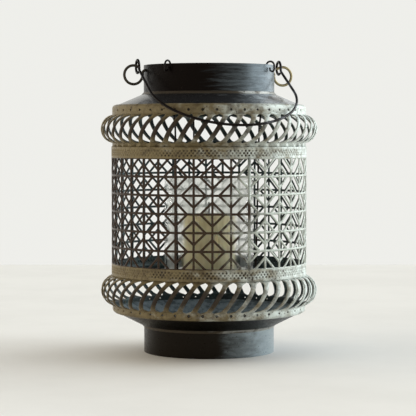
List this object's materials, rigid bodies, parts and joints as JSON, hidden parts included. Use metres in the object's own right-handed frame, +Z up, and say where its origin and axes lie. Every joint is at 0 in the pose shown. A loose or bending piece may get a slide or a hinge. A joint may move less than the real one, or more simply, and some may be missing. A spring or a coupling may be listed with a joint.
{
  "type": "punched tin lantern",
  "caption": "Round pierced-tin candle lantern with louvred bulges above and below a lattice body, a wire bail, and a candle glass hung from the neck rim on hooked wires.",
  "frame": {"origin": "centre of the foot ring on the surface it stands on", "axes": "+Z up the lantern's axis, +X towards the right ear, -Y towards the side that the bail rests on"},
  "size_m": [0.162, 0.1646, 0.2184],
  "materials": {
    "dark_tin": "worn dark gunmetal",
    "patina_tin": "distressed olive-grey patina",
    "solder": "dull solder",
    "ear_wire": "tarnished wire",
    "black_wire": "black iron wire",
    "glass": "clear, slightly hazed",
    "wax": "cream wax",
    "cotton": "burnt cotton",
    "tab_tin": "bare"
  },
  "bodies": {
    "lantern": {"foot_ring": "dark_tin", "foot_solder": "solder", "base_pan": "dark_tin", "lower_louvre_band": "patina_tin", "fretwork_sleeve": "patina_tin", "upper_louvre_band": "patina_tin", "shoulder_cone": "dark_tin", "neck_collar": "dark_tin", "neck_solder": "solder", "left_ear": "ear_wire", "right_ear": "ear_wire"},
    "handle": {"bail": "black_wire"},
    "cradle": {"hanger_left": "black_wire", "hanger_right": "black_wire", "hanger_back": "black_wire", "candle_tray": "dark_tin"},
    "tumbler": {"glass_cup": "glass"},
    "candle": {"candle_wax": "wax", "wick": "cotton", "wick_tab": "tab_tin"}
  },
  "joints": [
    {"name": "bail_swing", "type": "hinge", "parent": "lantern", "child": "handle", "pos_m": [0, 0, 0.21264], "axis": [-1, 0, 0], "range_deg": [0, 235.5]},
    {"name": "cradle_lift", "type": "slide", "parent": "lantern", "child": "cradle", "axis": [0, 0, 1], "range_m": [0, 0.17]},
    {"name": "glass_lift", "type": "slide", "parent": "cradle", "child": "tumbler", "axis": [0, 0, 1], "range_m": [0, 0.16]},
    {"name": "candle_lift", "type": "slide", "parent": "tumbler", "child": "candle", "axis": [0, 0, 1], "range_m": [0, 0.08]}
  ]
}
